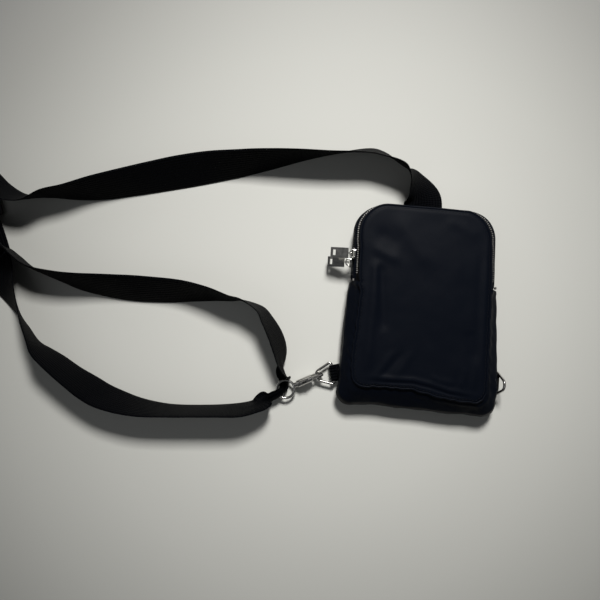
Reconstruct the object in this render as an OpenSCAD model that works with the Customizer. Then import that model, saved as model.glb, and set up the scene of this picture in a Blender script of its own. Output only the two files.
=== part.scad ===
// Phone pouch with two zipped compartments, side rings, a swivel hook and a webbing shoulder strap.
// It lies on its back. X runs across the pouch, Y towards its top, and Z up from the table.

/* [Pouch] */
// Half of the width above the zip ends
upper_half_w = 69; // [64:1:76]
// Half of the width near the bottom
lower_half_w = 77; // [72:1:84]
// Half of the height from bottom to top
half_len = 97; // [90:1:110]
// Thickness from back to front
pouch_t = 34; // [32:1:40]
// Radius of the two top corners
top_r = 25; // [20:1:30]
// Radius of the two bottom corners
bottom_r = 13; // [8:1:18]
// Thickness of the lined fabric
wall_t = 1.2; // [0.8:0.1:1.6]
// Rise of the crowned front panel
crown_h = 1.4; // [0.6:0.2:3]
// Thickness of the foam sheet behind the back lining
foam_t = 2; // [1:0.5:3]

/* [Zips] */
// Height of the zip ends along the pouch
zip_end_y = 24; // [18:1:30]
// Height above the back of the rear chain
rear_zip_z = 18; // [16:0.5:18]
// Height above the back of the front chain
front_zip_z = 28; // [27.5:0.5:28]
// Width of one chain across its teeth
chain_w = 3; // [2.6:0.2:3.4]
// Width of the tape on each side of a chain
tape_w = 1.5; // [1.2:0.1:1.6]
// Distance from one tooth to the next
tooth_pitch = 3.2; // [2.8:0.1:4]
// Length of a slider
slider_len = 11; // [9:0.5:13]
// Place of the front slider along the side
front_slider_y = 50; // [46:1:54]
// Place of the rear slider along the side
rear_slider_y = 42; // [38:1:46]
// Length of a pull
pull_len = 17; // [12:1:22]
// Width of a pull
pull_w = 10; // [7:0.5:12]

/* [Rings and hook] */
// Width between the bar ends of a side ring
ring_w = 23; // [23:0.5:26]
// Thickness of the ring wire
ring_wire_d = 2.6; // [2:0.2:3]
// Width of the sewn tab that holds a ring
tab_w = 16; // [12:1:16]
// Height of the ring bar above the table
ring_z = 7.5; // [7.5:0.5:9]
// Inner half height of the hook
hook_gap = 3.4; // [3:0.1:3.8]
// Thickness of the hook bow
hook_bow_t = 2.6; // [2:0.1:3]
// Thickness of the latch bolt
bolt_d = 3; // [2.6:0.1:3.4]
// Wire thickness of the swivel eye
eye_wire_d = 2.6; // [2:0.2:2.8]
// Diameter of the swivel eye at mid wire
eye_d = 17.6; // [17:0.2:19]

/* [Strap] */
// Width of the webbing
strap_w = 38; // [34:1:40]
// Thickness of the webbing
strap_t = 1.6; // [1.2:0.1:1.8]
// Room for the webbing in the adjuster beside each edge
glide_play = 1; // [0.6:0.2:3]

/* [Hidden] */
$fn = 48;

// Shared clearances and small sizes
run_gap = 0.3;
pin_gap = 0.08;
arc_steps = 8;
least_r = 4;
join = 0.01;
tooth_out = 1.3;
core_out = 0.5;
core_in = 0.7;
seam_z = pouch_t - wall_t;
divider_z = (rear_zip_z + front_zip_z) / 2 - wall_t / 2;
ring_swing = 13;
right_ring_lean = 80;
ring_apex = 25.5;
ring_apex_r = 6;
ring_corner_r = 2;
ring_x = 80.6;
ring_y = -67.6;
hook_turn = 27;

// Outline of the pouch at one height: insets follow the share of the thickness
function side_inset(f) = lookup(f, [[0, 4], [0.2, 1], [0.45, 0], [0.62, 0.5], [0.85, 3.5], [1, 7]]);
function low_inset(f) = lookup(f, [[0, 6], [0.2, 2], [0.45, 0], [0.65, 2], [0.88, 9], [1, 14]]);
function top_inset(f) = lookup(f, [[0, 4], [0.2, 1], [0.45, 0], [0.85, 0.5], [1, 2]]);
function end_inset(f) = lookup(f, [[0, 6], [0.2, 2], [0.45, 0], [0.65, 3], [0.88, 10], [1, 16]]);
function upper_x(z, d) = upper_half_w - side_inset(z / pouch_t) - d;
function lower_x(z, d) = lower_half_w - low_inset(z / pouch_t) - d;
function top_y(z, d) = half_len - top_inset(z / pouch_t) - d;
function bottom_y(z, d) = half_len - end_inset(z / pouch_t) - d;
function arc_points(cx, cy, r, from, z) =
    [for (i = [0 : arc_steps]) [cx + r * cos(from + 90 * i / arc_steps), cy + r * sin(from + 90 * i / arc_steps), z]];
function corner_r(r, d) = max(r - d, least_r);
function upper_points(z, d) = let (r = corner_r(top_r, d), x = upper_x(z, d) - r, y = top_y(z, d) - r) concat(
    [[upper_x(z, d), zip_end_y, z]],
    arc_points(x, y, r, 0, z),
    arc_points(-x, y, r, 90, z),
    [[-upper_x(z, d), zip_end_y, z]]);
function lower_points(z, d) = let (r = corner_r(bottom_r, d), x = lower_x(z, d) - r, y = r - bottom_y(z, d)) concat(
    [[-upper_x(z, d), zip_end_y, z]],
    arc_points(-x, y, r, 180, z),
    arc_points(x, y, r, 270, z),
    [[upper_x(z, d), zip_end_y, z]]);
function ring_points(z, d) = concat(
    upper_points(z, d), [for (i = [1 : 2 * arc_steps + 2]) lower_points(z, d)[i]]);

// Skins a row of sections that have the same number of points; flip when they run the other way round
module skin(rows, flip = false) {
    k = len(rows[0]);
    n = len(rows);
    points = [for (row = rows, p = row) p];
    sides = [for (i = [0 : n - 2], j = [0 : k - 1], t = [0, 1])
        let (a = i * k + j, b = i * k + (j + 1) % k)
        t == 0 ? [a, b, b + k] : [a, b + k, a + k]];
    first = [for (j = [k - 1 : -1 : 0]) j];
    last = [for (j = [0 : k - 1]) (n - 1) * k + j];
    faces = concat([first], sides, [last]);
    polyhedron(points, flip ? [for (f = faces) turned(f)] : faces, convexity = 8);
}
function turned(f) = [for (i = [len(f) - 1 : -1 : 0]) f[i]];

function lift_to(points, z) = [for (p = points) [p.x, p.y, z]];
function levels(low, high, n) = [for (i = [0 : n]) low + (high - low) * i / n];

// A wall that follows the upper or the lower part of the outline between two heights
module upper_wall(low, high, n) {
    zs = levels(low, high, n);
    count = 2 * arc_steps + 4;
    skin([for (i = [0 : count - 1]) concat(
        [for (z = zs) upper_points(z, 0)[i]],
        [for (j = [n : -1 : 0]) upper_points(zs[j], wall_t)[i]])]);
}

module lower_wall(low, high, n) {
    zs = levels(low, high, n);
    count = 2 * arc_steps + 4;
    skin([for (i = [0 : count - 1]) concat(
        [for (z = zs) lower_points(z, 0)[i]],
        [for (j = [n : -1 : 0]) lower_points(zs[j], wall_t)[i]])]);
}

// A flat sheet inside the outline, its edge following the walls
module sheet(low, high, d) {
    skin([for (z = [high, low]) ring_points(z, d)]);
}

module back_panel() {
    color("dimgray") sheet(0, wall_t, 0);
}

module back_foam() {
    color("lightgray") sheet(wall_t, wall_t + foam_t, wall_t + run_gap);
}

module divider_panel() {
    color("slategray") sheet(divider_z, divider_z + wall_t, wall_t + 2 * run_gap);
}

module lower_gusset() {
    color("midnightblue") lower_wall(wall_t, seam_z, 8);
}

module rear_band() {
    color("navy") upper_wall(wall_t, rear_zip_z - chain_w / 2 - tape_w, 4);
}

module middle_band() {
    color("navy") upper_wall(rear_zip_z + chain_w / 2 + tape_w, front_zip_z - chain_w / 2 - tape_w, 2);
}

module front_band() {
    color("navy") upper_wall(front_zip_z + chain_w / 2 + tape_w, seam_z, 1);
}

// Rows of the crowned face: share of the rise and inset from the seam
crown_rows = [[1, 23.8], [0.7, 9.8], [0.35, 2.8], [0, 0]];
module front_panel() {
    color("black") skin(concat(
        [for (row = crown_rows) lift_to(ring_points(pouch_t, row[1]), pouch_t + crown_h * row[0])],
        [ring_points(seam_z, 0)]));
}

module zip_tapes(z) {
    upper_wall(z - chain_w / 2 - tape_w, z - chain_w / 2, 1);
    upper_wall(z + chain_w / 2, z + chain_w / 2 + tape_w, 1);
}

module rear_zip_tapes() {
    color("black") zip_tapes(rear_zip_z);
}

module front_zip_tapes() {
    color("black") zip_tapes(front_zip_z);
}

// Path of a chain: distance s runs from the right zip end round the top to the left one
function side_run(z) = top_y(z, 0) - top_r - zip_end_y;
function bend_run(z) = PI * top_r / 2;
function top_run(z) = 2 * (upper_x(z, 0) - top_r);
function chain_run(z) = 2 * side_run(z) + 2 * bend_run(z) + top_run(z);
function half_place(s, z) =
    s < side_run(z) ? [upper_x(z, 0), zip_end_y + s, 0]
    : s < side_run(z) + bend_run(z)
        ? let (a = (s - side_run(z)) / top_r * 180 / PI)
        [upper_x(z, 0) - top_r + top_r * cos(a), top_y(z, 0) - top_r + top_r * sin(a), a]
    : [upper_x(z, 0) - top_r - (s - side_run(z) - bend_run(z)), top_y(z, 0), 90];
function chain_place(s, z) = s <= chain_run(z) / 2
    ? half_place(s, z)
    : let (p = half_place(chain_run(z) - s, z)) [-p.x, p.y, 180 - p.z];
function chain_section(s, z, out) =
    let (p = chain_place(s, z), dx = cos(p.z), dy = sin(p.z), w = chain_w / 2)
    [[p.x + out * dx, p.y + out * dy, z - w], [p.x + out * dx, p.y + out * dy, z + w],
     [p.x - core_in * dx, p.y - core_in * dy, z + w], [p.x - core_in * dx, p.y - core_in * dy, z - w]];

// The interlocked teeth: a core with one raised rib for each tooth
module zip_teeth(z) {
    count = floor(chain_run(z) / tooth_pitch);
    pitch = chain_run(z) / count;
    skin([for (i = [0 : count - 1], c = [[0, core_out], [0.28, core_out], [0.3, tooth_out], [0.7, tooth_out], [0.72, core_out]])
        chain_section((i + c[0]) * pitch, z, c[1])]);
}

module rear_zip_teeth() {
    color("silver") zip_teeth(rear_zip_z);
}

module front_zip_teeth() {
    color("silver") zip_teeth(front_zip_z);
}

// Metal clamps that close the four chain ends
stop_len = 2;
stop_h = 1.2;
module zip_end_stops() {
    color("silver") for (z = [rear_zip_z, front_zip_z], side = [-1, 1])
        translate([side * (upper_x(z, 0) + tooth_out + run_gap / 2 + stop_h / 2), zip_end_y + stop_len / 2, z])
            cube([stop_h, stop_len, chain_w], center = true);
}

// Slider shell over the chain, with the bail that carries the pull
slider_t = 1.4;
slider_w = 7;
bail_r = 3.6;
bail_wire = 1.2;
function slider_base(z) = -(upper_x(z, 0) + tooth_out + run_gap);
function bail_x(z) = slider_base(z) - slider_t - bail_r + bail_wire / 2;
module slider(y, z) {
    translate([slider_base(z), y, z]) {
        translate([-slider_t, -slider_len / 2 + slider_w / 2, 0])
            rotate([0, 90, 0]) cylinder(h = slider_t, d = slider_w);
        translate([-slider_t, -slider_len / 2 + slider_w / 2, -slider_w / 2])
            cube([slider_t, slider_len - slider_w, slider_w]);
        translate([-slider_t, slider_len / 2 - slider_w / 2, 0])
            rotate([0, 90, 0]) cylinder(h = slider_t, d = slider_w);
        translate([-slider_t + join, 0, 0]) rotate([0, 0, 90])
            rotate_extrude(angle = 180) translate([bail_r, 0]) circle(d = bail_wire, $fn = 24);
    }
}

module rear_slider() {
    color("silver") slider(rear_slider_y, rear_zip_z);
}

module front_slider() {
    color("silver") slider(front_slider_y, front_zip_z);
}

// Pull: an eye round the bail and a flat tab with a slot near its end
pull_t = 1.5;
pull_eye_r = 2.2;
slot_w = 2.4;
module pull(y, z, droop) {
    translate([bail_x(z), y, z]) rotate([0, -droop, 0]) {
        rotate([90, 0, 0]) rotate_extrude() translate([pull_eye_r, 0]) circle(d = bail_wire, $fn = 24);
        difference() {
            translate([-pull_eye_r - pull_len, -pull_w / 2, -pull_t / 2]) cube([pull_len, pull_w, pull_t]);
            translate([-pull_eye_r - pull_len + slot_w, -pull_w / 2 + slot_w, -pull_t])
                cube([slot_w, pull_w - 2 * slot_w, 2 * pull_t]);
        }
    }
}

front_droop = 8;
rear_droop = 24;
module rear_pull() {
    color("gainsboro") pull(rear_slider_y, rear_zip_z, rear_droop);
}

module front_pull() {
    color("gainsboro") pull(front_slider_y, front_zip_z, front_droop);
}

// The straights of a wire loop are a hair thicker than its bends and lap over them
wire_step = 0.08;
wire_lap = 0.3;
// A closed loop of round wire through given corners, each with its own bend radius
function unit(v) = v / norm(v);
function corner(points, radii, i) =
    let (n = len(points), v = points[i], a = unit(points[(i + n - 1) % n] - v), b = unit(points[(i + 1) % n] - v),
        half = acos(a * b) / 2)
    [v + a * radii[i] / tan(half), v + b * radii[i] / tan(half), v + unit(a + b) * radii[i] / sin(half), 180 - 2 * half];
module wire_loop(points, radii, d) {
    n = len(points);
    for (i = [0 : n - 1]) {
        c = corner(points, radii, i);
        e = corner(points, radii, (i + 1) % n);
        from = atan2(c[0].y - c[2].y, c[0].x - c[2].x);
        translate([c[2].x, c[2].y, 0]) rotate([0, 0, from])
            rotate_extrude(angle = c[3]) translate([radii[i], 0]) circle(d = d, $fn = 24);
        side = e[0] - c[1];
        translate([c[1].x, c[1].y, 0]) rotate([0, 0, atan2(side.y, side.x)]) rotate([0, 90, 0])
            translate([0, 0, -wire_lap]) cylinder(h = norm(side) + 2 * wire_lap, d = d + wire_step, $fn = 24);
    }
}

// Side ring in its own frame: the bar lies on Y and the point towards -X
module ring_wire() {
    wire_loop([[0, ring_w / 2], [-ring_apex, 0], [0, -ring_w / 2]],
        [ring_corner_r, ring_apex_r, ring_corner_r], ring_wire_d);
}

module at_left_ring() {
    translate([-ring_x, ring_y, ring_z]) rotate([0, 0, ring_swing]) children();
}

module at_right_ring() {
    translate([ring_x, ring_y, ring_z]) mirror([1, 0, 0]) children();
}

module left_ring() {
    color("silver") at_left_ring() ring_wire();
}

module right_ring() {
    color("silver") at_right_ring() rotate([0, right_ring_lean, 0]) ring_wire();
}

// Webbing tab: a folded loop round the ring bar, sewn flat to the gusset
tab_t = 1.4;
tab_len = 12;
tab_reach = 6;
module tab_loop() {
    bore = ring_wire_d / 2 + run_gap;
    difference() {
        union() {
            rotate([90, 0, 0]) cylinder(r = bore + tab_t, h = tab_w, center = true);
            translate([0, -tab_w / 2, -bore - tab_t]) cube([tab_len, tab_w, 2 * (bore + tab_t)]);
        }
        rotate([90, 0, 0]) cylinder(r = bore, h = 2 * tab_w, center = true);
    }
}

module tab_trim() {
    difference() {
        children();
        skin([for (z = [pouch_t, ring_z + tab_reach, ring_z, 0, -1]) lift_to(ring_points(max(z, 0), -run_gap), z)]);
    }
}

module left_tab() {
    color("black") tab_trim() at_left_ring() tab_loop();
}

module right_tab() {
    color("black") tab_trim() at_right_ring() tab_loop();
}

// Hook frame: origin at the ring wire inside the bow, +X towards the ring bar
function apex_reach() =
    let (c = corner([[0, ring_w / 2], [-ring_apex, 0], [0, -ring_w / 2]], [ring_corner_r, ring_apex_r, ring_corner_r], 1))
    ring_apex_r - c[2].x;
hook_x = -ring_x - apex_reach() * cos(ring_swing);
hook_y = ring_y - apex_reach() * sin(ring_swing);
module at_hook() {
    translate([hook_x, hook_y, ring_z]) rotate([0, 0, hook_turn]) children();
}

hook_w = 4.5;
bow_x = 1.2;
body_front = -4.4;
body_back = -20;
body_r = 3.6;
bolt_z = hook_gap + bolt_d / 2;
bolt_wall = 1.1;
stem_d = 3;
head_d = 4.6;
head_len = 1.5;
eye_x = body_back - 2.6 - eye_d / 2 - eye_wire_d / 2;
tube_back = body_back + 3;
knob_x = -9;
knob_w = 1.6;
latch_travel = 4.5;
module hook_body() {
    color("silver") at_hook() difference() {
        union() {
            rotate([90, 0, 0]) linear_extrude(hook_w, center = true) difference() {
                union() {
                    translate([body_front - 2, -hook_gap - hook_bow_t]) square([bow_x - body_front + 2, 2 * (hook_gap + hook_bow_t)]);
                    translate([bow_x, 0]) circle(r = hook_gap + hook_bow_t);
                }
                translate([body_front, -hook_gap]) square([bow_x - body_front, 3 * hook_gap + hook_bow_t]);
                translate([bow_x, 0]) circle(r = hook_gap);
                translate([body_front, hook_gap]) square([bow_x - body_front + 1, 2 * hook_bow_t]);
            }
            translate([body_back, 0, 0]) rotate([0, 90, 0]) cylinder(r = body_r, h = body_front - body_back);
            translate([tube_back, 0, bolt_z]) rotate([0, 90, 0]) cylinder(r = bolt_d / 2 + bolt_wall, h = body_front - tube_back);
            translate([tube_back, -bolt_d / 2, 0]) cube([body_front - tube_back, bolt_d, bolt_z]);
        }
        translate([tube_back + 1, 0, bolt_z]) rotate([0, 90, 0]) cylinder(r = bolt_d / 2 + pin_gap, h = 40);
        translate([knob_x - latch_travel - knob_w / 2 - run_gap, -knob_w / 2 - run_gap / 2, bolt_z])
            cube([latch_travel + knob_w + 2 * run_gap, knob_w + run_gap, 10]);
        translate([body_back - 1, 0, 0]) rotate([0, 90, 0]) cylinder(d = stem_d + 2 * pin_gap, h = 3);
        translate([body_back + 1.4, 0, 0]) rotate([0, 90, 0]) cylinder(d = head_d + 2 * run_gap, h = head_len + 2 * run_gap);
    }
}

// Spring latch: a round bolt that closes the bow, with its thumb knob
module hook_latch() {
    color("gray") at_hook() {
        translate([body_front - 6.5, 0, bolt_z]) rotate([0, 90, 0])
            cylinder(d = bolt_d, h = bow_x + 1 - run_gap - body_front + 6.5);
        translate([knob_x - knob_w / 2, -knob_w / 2, bolt_z]) cube([knob_w, knob_w, bolt_d / 2 + bolt_wall + 1]);
        translate([knob_x, 0, bolt_z + bolt_d / 2 + bolt_wall + run_gap]) cylinder(d = 3.4, h = 1.2);
    }
}

// Swivel eye: a ring of wire on a stem whose head turns inside the hook body
module swivel_eye() {
    color("silver") at_hook() {
        translate([eye_x, 0, 0]) rotate_extrude() translate([eye_d / 2, 0]) circle(d = eye_wire_d, $fn = 24);
        translate([eye_x + eye_d / 2, 0, 0]) rotate([0, 90, 0])
            cylinder(d = stem_d, h = body_back + 1.4 + run_gap - eye_x - eye_d / 2 + join);
        translate([eye_x + eye_d / 2 + 0.6, 0, 0]) rotate([0, 90, 0])
            cylinder(d = 5, h = body_back - run_gap - eye_x - eye_d / 2 - 0.6);
        translate([body_back + 1.4 + run_gap, 0, 0]) rotate([0, 90, 0]) cylinder(d = head_d, h = head_len);
    }
}

// Webbing runs: each row is x, y, roll, lowest height, width share and thickness share.
// Roll 0 is flat and 90 stands on edge, with the side left of the way it runs raised.
steps_between = 3;
function bend(a, b, c, d, t) =
    0.5 * (2 * b + (c - a) * t + (2 * a - 5 * b + 4 * c - d) * t * t + (3 * b - a - 3 * c + d) * t * t * t);
function smooth(rows) = let (n = len(rows)) [for (i = [0 : n - 2], k = [0 : steps_between - 1])
    bend(rows[max(i - 1, 0)], rows[i], rows[i + 1], rows[min(i + 2, n - 1)], k / steps_between)];
function whole(rows) = concat(smooth(rows), [rows[len(rows) - 1]]);
function row_w(r) = strap_w * r[4] / 2;
function row_t(r) = strap_t * r[5] / 2;
function row_centre(r) = [r[0], r[1], r[3] + row_w(r) * abs(sin(r[2])) + row_t(r) * abs(cos(r[2]))];
function webbing_section(path, i) =
    let (c = row_centre(path[i]),
        along = unit(row_centre(path[min(i + 1, len(path) - 1)]) - row_centre(path[max(i - 1, 0)])),
        left = unit(cross([0, 0, 1], along)),
        up = cross(along, left),
        a = path[i][2],
        w = (left * cos(a) + up * sin(a)) * row_w(path[i]),
        m = (up * cos(a) - left * sin(a)) * row_t(path[i]))
    [c + w + m, c - w + m, c - w - m, c + w - m];

upper_route = [
    [-3, 99.6, 0, 11.8, 1, 1], [-3, 108, 12, 8, 1, 1], [-6, 117, 34, 3, 1, 1], [-12, 126, 52, 0.2, 1, 1],
    [-19, 135, 74, 0.2, 1, 1], [-27, 141, 80, 0.2, 1, 1], [-45, 149, 70, 0.2, 1, 1], [-61, 151, 71, 0.2, 1, 1],
    [-98, 146, 83, 0.2, 1, 1], [-131, 141, 98, 0.2, 1, 1], [-158, 136, 111, 0.2, 1, 1], [-185, 131, 122, 0.2, 1, 1],
    [-213, 126, 131, 0.2, 1, 1], [-240, 120, 134, 0.2, 1, 1], [-267, 113, 130, 0.2, 1, 1], [-293, 106, 125, 0.2, 1, 1],
    [-320, 99, 118, 0.2, 1, 1], [-346, 93, 104, 0.2, 1, 1], [-367, 90, 93, 0.2, 1, 1], [-386, 85, 76, 0.2, 1, 1],
    [-402, 86, 70, 0.4, 1, 1], [-418, 94, 66, 1.5, 1, 1], [-432, 106, 64, 3, 1, 1], [-447, 115, 60, 4.5, 1, 1],
    [-457, 111, 50, 6, 1, 1]
];
glide_route = [
    [-455, 102.5, 26, 6.3, 1, 1], [-451.6, 97.5, 8, 6.3, 1, 1], [-449.6, 94.4, 0, 6.3, 1, 1], [-447.9, 89.6, 0, 6.3, 1, 1],
    [-446.3, 85, 0, 5.2, 1, 1], [-444.6, 80.5, 0, 0.5, 1, 1], [-443, 76, 0, 0.2, 1, 1],
    [-441.4, 71.5, 0, 0.5, 1, 1], [-439.7, 67, 0, 5.2, 1, 1], [-438.1, 62.4, 0, 6.3, 1, 1],
    [-436.4, 57.6, 0, 6, 1, 1], [-434.6, 52.8, 0, 4, 1, 1]
];
lower_route = [
    [-429.5, 38.5, 3, 0.6, 1, 1], [-421, 22, 10, 0.2, 1, 1], [-411, 8, 26, 0.2, 1, 1],
    [-401, -7, 46, 0.2, 1, 1],
    [-391, -23, 62, 0.2, 1, 1], [-382, -38, 76, 0.2, 1, 1], [-373, -53, 84, 0.2, 1, 1], [-364, -63, 98, 0.2, 1, 1],
    [-350, -73, 106, 0.2, 1, 1], [-333, -85, 111, 0.2, 1, 1], [-317, -95, 117, 0.2, 1, 1], [-300, -103, 116, 0.2, 1, 1],
    [-272, -110, 108, 0.2, 1, 1], [-243, -112, 100, 0.2, 1, 1], [-216, -111, 98, 0.2, 1, 1], [-188, -109, 99, 0.2, 1, 1],
    [-168, -107, 102, 0.2, 1, 1], [-152, -102, 106, 0.2, 1, 1]
];
fold_route = [
    [-147.6, -98.8, 128, 2, 0.62, 1.6], [-144.2, -96.3, 160, 6, 0.36, 2],
    [-141, -94.6, 180, 9.3, 0.25, 2], [-137.5, -92.6, 180, 9.9, 0.24, 2], [-133.8, -90.5, 180, 10, 0.22, 2],
    [-131, -88.6, 180, 8.8, 0.2, 2], [-128.8, -86.3, 180, 5.8, 0.22, 2], [-128.1, -83.2, 180, 2.9, 0.24, 2],
    [-128.4, -79.6, 180, 1.8, 0.24, 2], [-128.9, -75.6, 178, 0.7, 0.3, 1.8],
    [-129.4, -71.4, 140, 0.3, 0.52, 1.5], [-129.6, -67.4, 104, 0.3, 0.84, 1.1], [-130.8, -61.4, 78, 0.2, 1, 1]
];
return_route = [
    [-133.2, -49, 70, 0.2, 1, 1], [-139, -34, 70, 0.2, 1, 1], [-148, -19, 75, 0.2, 1, 1],
    [-156, -8.5, 82, 0.2, 1, 1], [-173, -1, 92, 0.2, 1, 1], [-186, 0, 99, 0.2, 1, 1], [-204, 2.5, 110, 0.2, 1, 1],
    [-223, 3.7, 120, 0.2, 1, 1], [-242, 3.8, 127, 0.2, 1, 1], [-261, 3.6, 130, 0.2, 1, 1], [-280, 3.6, 131, 0.2, 1, 1],
    [-298, 4.1, 128, 0.2, 1, 1], [-317, 5.2, 122, 0.2, 1, 1], [-335, 7, 115, 0.2, 1, 1], [-353, 10.5, 106, 0.2, 1, 1],
    [-373, 15.6, 98, 0.2, 1, 1], [-384, 20.5, 97, 0.4, 1, 1], [-393.5, 28, 97, 3, 1, 1], [-402.5, 35.5, 101, 7.2, 1, 1],
    [-412, 40.5, 118, 9, 1, 1], [-421, 44, 146, 9, 1, 1], [-429.5, 49, 168, 8.2, 1, 1], [-435, 56, 180, 8.3, 1, 1],
    [-438.5, 63.5, 180, 8.3, 1, 1], [-440.6, 69.4, 180, 8, 1, 1], [-442.2, 73.8, 180, 7.7, 1, 1]
];

// The webbing is one band: each node is the stretch between two rows of the whole route
strap_path = whole(concat(upper_route, glide_route, lower_route, fold_route, return_route));
glide_end = len(upper_route) - 1;
lower_end = glide_end + len(glide_route) + len(lower_route);
fold_end = lower_end + len(fold_route);
return_end = fold_end + len(return_route);
module webbing(first, last) {
    skin([for (i = [first * steps_between : last * steps_between]) webbing_section(strap_path, i)], true);
}

module strap_upper_run() {
    color("black") webbing(0, glide_end);
}

module strap_lower_run() {
    color("black") webbing(glide_end, lower_end);
}

module strap_eye_fold() {
    color("black") webbing(lower_end, fold_end);
}

module strap_return_run() {
    color("black") webbing(fold_end, return_end);
}

// Sewn strap end on the back of the top edge
anchor_x = -3;
anchor_top = 14;
anchor_h = 9;
anchor_t = 1.3;
module strap_anchor() {
    color("black") translate([anchor_x - strap_w / 2, half_len + run_gap, anchor_top - anchor_h])
        cube([strap_w, anchor_t, anchor_h]);
}

// Strap adjuster: a flat frame with a middle bar, across the webbing
glide_x = -443;
glide_y = 76;
glide_turn = 20;
glide_z = 3.6;
glide_t = 2.4;
glide_l = 30;
bar_w = 3;
middle_bar_w = 3.4;
glide_w = strap_w + 2 * (glide_play + bar_w);
module at_glide() {
    translate([glide_x, glide_y, glide_z]) rotate([0, 0, glide_turn]) children();
}

module strap_glide() {
    color("black") at_glide() difference() {
        union() {
            translate([-glide_w / 2 + 2, -glide_l / 2, 0]) cube([glide_w - 4, glide_l, glide_t]);
            translate([-glide_w / 2, -glide_l / 2 + 2, 0]) cube([glide_w, glide_l - 4, glide_t]);
            for (x = [-1, 1], y = [-1, 1])
                translate([x * (glide_w / 2 - 2), y * (glide_l / 2 - 2), 0]) cylinder(r = 2, h = glide_t);
        }
        for (y = [-1, 1]) {
            slot_l = (glide_l - 2 * bar_w - middle_bar_w) / 2;
            translate([-glide_w / 2 + bar_w, y * (middle_bar_w + slot_l) / 2 - slot_l / 2, -1])
                cube([glide_w - 2 * bar_w, slot_l, glide_t + 2]);
        }
    }
}

// Strap end wrapped round the middle bar
sleeve_t = 1.2;
module strap_end_sleeve() {
    color("black") at_glide() translate([-strap_w / 2, 0, glide_t / 2]) rotate([90, 0, 90]) linear_extrude(strap_w)
        difference() {
            square([middle_bar_w + 2 * sleeve_t + 2 * run_gap, glide_t + 2 * sleeve_t + 2 * run_gap], center = true);
            square([middle_bar_w + 2 * run_gap, glide_t + 2 * run_gap], center = true);
        }
}

back_panel();
back_foam();
lower_gusset();
rear_band();
divider_panel();
middle_band();
front_band();
front_panel();
rear_zip_tapes();
front_zip_tapes();
rear_zip_teeth();
front_zip_teeth();
zip_end_stops();
rear_slider();
rear_pull();
front_slider();
front_pull();
left_tab();
right_tab();
left_ring();
right_ring();
hook_body();
hook_latch();
swivel_eye();
strap_anchor();
strap_upper_run();
strap_lower_run();
strap_eye_fold();
strap_return_run();
strap_end_sleeve();
strap_glide();
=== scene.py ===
"""Looks of the phone pouch: soft shell, zips, webbing and finishes over the CAD frame."""

import bpy
import math
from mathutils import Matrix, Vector, noise


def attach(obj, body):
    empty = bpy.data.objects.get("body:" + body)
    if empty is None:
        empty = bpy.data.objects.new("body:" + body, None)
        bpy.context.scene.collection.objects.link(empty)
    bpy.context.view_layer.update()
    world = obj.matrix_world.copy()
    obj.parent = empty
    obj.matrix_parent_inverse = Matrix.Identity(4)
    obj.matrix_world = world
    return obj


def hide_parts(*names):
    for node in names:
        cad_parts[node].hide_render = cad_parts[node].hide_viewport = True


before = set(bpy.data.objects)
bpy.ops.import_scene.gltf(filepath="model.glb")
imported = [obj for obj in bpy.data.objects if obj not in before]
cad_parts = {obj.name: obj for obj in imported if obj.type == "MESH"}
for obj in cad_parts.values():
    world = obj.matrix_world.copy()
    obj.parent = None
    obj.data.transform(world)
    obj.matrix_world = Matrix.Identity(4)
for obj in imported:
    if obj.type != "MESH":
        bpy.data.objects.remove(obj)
MM = 0.001


def write_bounds():
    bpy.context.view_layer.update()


write_bounds()

# ---------------------------------------------------------------- materials


def material(name, colour, roughness, metallic=0.0, specular=0.5):
    """A plain Principled material."""
    mat = bpy.data.materials.new(name)
    mat.use_nodes = True
    shader = mat.node_tree.nodes["Principled BSDF"]
    shader.inputs["Base Color"].default_value = (*colour, 1.0)
    shader.inputs["Roughness"].default_value = roughness
    shader.inputs["Metallic"].default_value = metallic
    shader.inputs["Specular IOR Level"].default_value = specular
    return mat


def add(mat, kind, **values):
    """A new node; each value is an input's constant or the node's setting."""
    node = mat.node_tree.nodes.new(kind)
    for key, value in values.items():
        if key in node.inputs:
            node.inputs[key].default_value = value
        else:
            setattr(node, key, value)
    return node


def link(mat, source, out, target, into):
    """Joins a node's output to another's input."""
    mat.node_tree.links.new(source.outputs[out], target.inputs[into])


def roughen(mat, low, high, scale):
    """Lets the roughness drift between two values over the surface."""
    place = add(mat, "ShaderNodeTexCoord")
    grain = add(mat, "ShaderNodeTexNoise", Scale=scale, Detail=4.0)
    span = add(mat, "ShaderNodeMapRange")
    span.inputs["To Min"].default_value = low
    span.inputs["To Max"].default_value = high
    link(mat, place, "Object", grain, "Vector")
    link(mat, grain, "Fac", span, "Value")
    link(mat, span, "Result", mat.node_tree.nodes["Principled BSDF"], "Roughness")


def weave(mat, coordinates, across, along, depth, grain_scale, grain_depth):
    """Crossed ribs and a fine grain as bump; the depths are in metres."""
    shader = mat.node_tree.nodes["Principled BSDF"]
    place = add(mat, "ShaderNodeTexCoord")
    first = add(mat, "ShaderNodeTexWave", Scale=across, bands_direction="X")
    second = add(mat, "ShaderNodeTexWave", Scale=along, bands_direction="Y")
    both = add(mat, "ShaderNodeMath", operation="ADD")
    ribs = add(mat, "ShaderNodeBump", Strength=1.0, Distance=depth)
    grain = add(mat, "ShaderNodeTexNoise", Scale=grain_scale, Detail=3.0)
    fine = add(mat, "ShaderNodeBump", Strength=1.0, Distance=grain_depth)
    for wave in (first, second):
        link(mat, place, coordinates, wave, "Vector")
    link(mat, place, "Object", grain, "Vector")
    link(mat, first, "Fac", both, 0)
    link(mat, second, "Fac", both, 1)
    link(mat, both, "Value", ribs, "Height")
    link(mat, grain, "Fac", fine, "Height")
    link(mat, ribs, "Normal", fine, "Normal")
    link(mat, fine, "Normal", shader, "Normal")


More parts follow.
